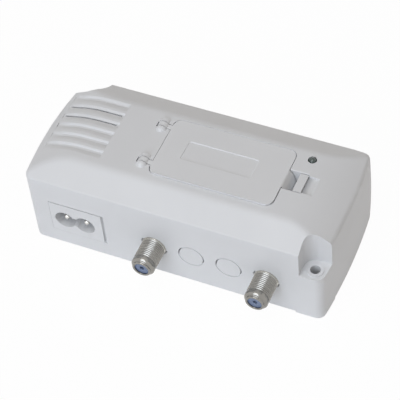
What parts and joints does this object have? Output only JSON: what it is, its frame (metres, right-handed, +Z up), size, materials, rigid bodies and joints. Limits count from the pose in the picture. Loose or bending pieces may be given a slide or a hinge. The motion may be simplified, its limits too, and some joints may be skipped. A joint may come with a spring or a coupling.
{
  "type": "tv signal amplifier",
  "caption": "Mains-powered aerial signal amplifier in a white moulded case with threaded sockets, a mains inlet, cooling louvres, corner fixing ears and a hinged flap over its adjusters.",
  "frame": {"origin": "centre of the case's underside, on the plane it rests on", "axes": "+X along the case towards the end with the front fixing ear, +Y from the socket side to the back, +Z up"},
  "size_m": [0.1244, 0.067, 0.0427],
  "materials": {
    "case_plastic": "fine moulded satin",
    "base_plastic": "fine moulded satin",
    "zinc_steel": "zinc plated",
    "pin_nickel": "nickel plated",
    "socket_nickel": "bright nickel plate over a machined thread",
    "insulator_blue": "moulded",
    "contact_brass": "bright",
    "board_green": "solder mask",
    "tinned_sheet": "tinned sheet",
    "adjuster_blue": "moulded",
    "shaft_ivory": "moulded",
    "ferrite": "ground",
    "winding_tape": "film tape",
    "capacitor_sleeve": "shrink sleeve",
    "film_box": "moulded",
    "fuse_black": "moulded",
    "lamp_green": "clear tinted resin",
    "spacer_white": "extruded"
  },
  "bodies": {
    "case": {"top_housing": "case_plastic", "base_plate": "base_plastic", "base_screws": "zinc_steel", "inlet_body": "case_plastic", "inlet_pins": "pin_nickel", "aerial_socket_left": "socket_nickel", "aerial_socket_right": "socket_nickel", "socket_insulator_left": "insulator_blue", "socket_insulator_right": "insulator_blue", "socket_contact_left": "contact_brass", "socket_contact_right": "contact_brass", "circuit_board": "board_green", "board_screws": "zinc_steel", "screen_can": "tinned_sheet", "screen_lid": "tinned_sheet", "gain_adjuster": "adjuster_blue", "slope_adjuster": "adjuster_blue", "transformer_core": "ferrite", "transformer_winding": "winding_tape", "reservoir_capacitor": "capacitor_sleeve", "output_capacitor": "capacitor_sleeve", "mains_capacitor": "film_box", "mains_fuse": "fuse_black", "indicator_lamp": "lamp_green", "lamp_spacer": "spacer_white"},
    "flap": {"access_flap": "case_plastic"},
    "latch": {"flap_latch": "case_plastic"},
    "gain_knob": {"gain_shaft": "shaft_ivory"},
    "slope_knob": {"slope_shaft": "shaft_ivory"}
  },
  "joints": [
    {"name": "flap_hinge", "type": "hinge", "parent": "case", "child": "flap", "pos_m": [-0.018, 0.0007, 0.0405], "axis": [0, -1, 0], "range_deg": [0, 110]},
    {"name": "latch_flex", "type": "hinge", "parent": "flap", "child": "latch", "pos_m": [0.0394, 0.0009, 0.0352], "axis": [0, -1, 0], "range_deg": [0, 8], "stiffness_Nm_per_rad": 0.02},
    {"name": "gain_turn", "type": "hinge", "parent": "case", "child": "gain_knob", "pos_m": [-0.0002, -0.0033, 0.0305], "axis": [0, 0, 1], "range_deg": [-135, 135]},
    {"name": "slope_turn", "type": "hinge", "parent": "case", "child": "slope_knob", "pos_m": [0.0218, -0.0033, 0.0305], "axis": [0, 0, 1], "range_deg": [-135, 135]}
  ]
}
